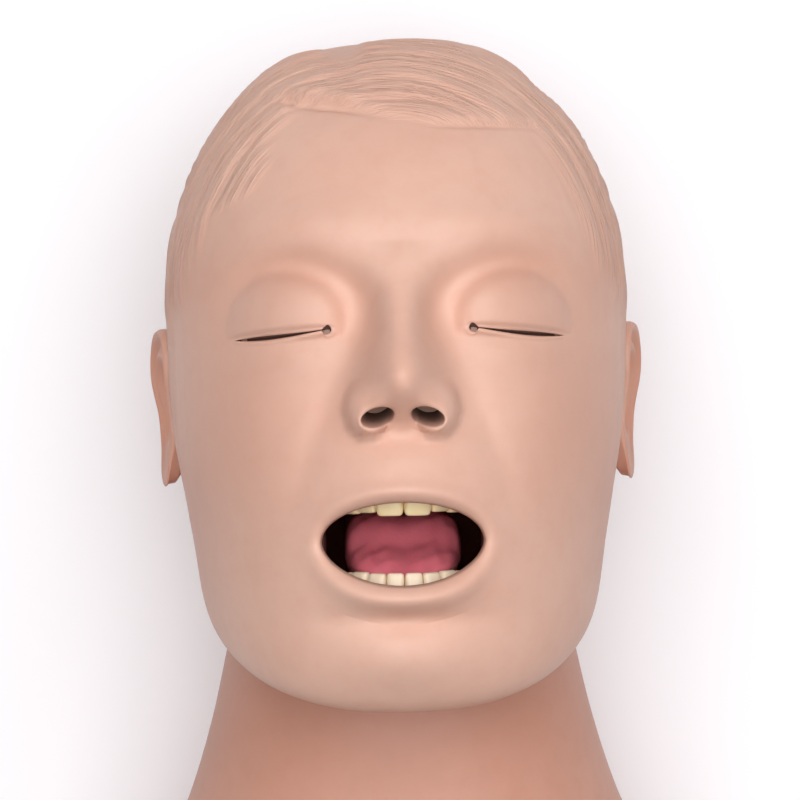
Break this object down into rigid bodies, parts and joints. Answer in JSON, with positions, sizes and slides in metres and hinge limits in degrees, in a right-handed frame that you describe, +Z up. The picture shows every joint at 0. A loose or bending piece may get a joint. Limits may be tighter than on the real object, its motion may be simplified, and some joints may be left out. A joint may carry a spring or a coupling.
{
  "type": "airway management trainer",
  "caption": "Adult head and neck manikin for airway training, lying face up, with hinged jaw, turning head, flexing neck, teeth, tongue, larynx and windpipe.",
  "frame": {"origin": "middle of the shoulder base's flat underside, on the table", "axes": "+X across the face to the viewer's right in the picture, +Y from the shoulder end to the crown, +Z up from the table through the face"},
  "size_m": [0.224, 0.3642, 0.2073],
  "materials": {
    "skin_vinyl": "satin",
    "neck_vinyl": "satin",
    "skull_plastic": "moulded",
    "frame_plastic": "moulded",
    "gum_vinyl": "satin",
    "tongue_vinyl": "satin",
    "lining_vinyl": "satin",
    "tooth_plastic": "polished",
    "throat_vinyl": "satin",
    "larynx_plastic": "moulded",
    "hose_plastic": "moulded",
    "port_plastic": "moulded",
    "steel": "turned",
    "bronze": "turned"
  },
  "bodies": {
    "base": {"shoulder_base": "frame_plastic", "tilt_pin": "steel", "neck_skin": "neck_vinyl", "end_plate": "frame_plastic", "end_plate_screws": "steel", "trachea_tube": "hose_plastic", "gullet_tube": "hose_plastic", "trachea_port": "port_plastic", "gullet_port": "port_plastic", "trachea_clamp": "steel", "gullet_clamp": "steel"},
    "neck": {"neck_link": "frame_plastic", "turn_washer": "steel", "turn_screw": "steel", "larynx_cradle": "frame_plastic", "cradle_screw": "steel", "larynx": "larynx_plastic", "epiglottis": "gum_vinyl", "vocal_folds": "larynx_plastic", "larynx_clamp": "steel"},
    "head": {"head_skin": "skin_vinyl", "skull_shell": "skull_plastic", "skull_plate": "skull_plastic", "skull_screws": "steel", "turn_bush": "bronze", "upper_jaw": "gum_vinyl", "upper_teeth": "tooth_plastic", "soft_palate": "gum_vinyl", "nasal_passage_left": "throat_vinyl", "nasal_passage_right": "throat_vinyl", "cheek_lining_left": "lining_vinyl", "cheek_lining_right": "lining_vinyl", "jaw_pin_left": "steel", "jaw_pin_right": "steel", "pharynx_sleeve": "throat_vinyl"},
    "jaw": {"mandible": "gum_vinyl", "lower_teeth": "tooth_plastic", "tongue": "tongue_vinyl", "jaw_bush_left": "bronze", "jaw_bush_right": "bronze"}
  },
  "joints": [
    {"name": "neck_tilt", "type": "hinge", "parent": "base", "child": "neck", "pos_m": [0, 0.02, 0.058], "axis": [1, 0, 0], "range_deg": [0, 35], "deforming": ["neck_skin", "trachea_tube", "gullet_tube"]},
    {"name": "head_turn", "type": "hinge", "parent": "neck", "child": "head", "pos_m": [0, 0.2, 0.073], "axis": [0, 1, 0], "range_deg": [-30, 30], "deforming": ["pharynx_sleeve"]},
    {"name": "jaw_open", "type": "hinge", "parent": "head", "child": "jaw", "pos_m": [0, 0.202, 0.104], "axis": [1, 0, 0], "range_deg": [-10, 4], "deforming": ["head_skin", "cheek_lining_left", "cheek_lining_right"]}
  ]
}
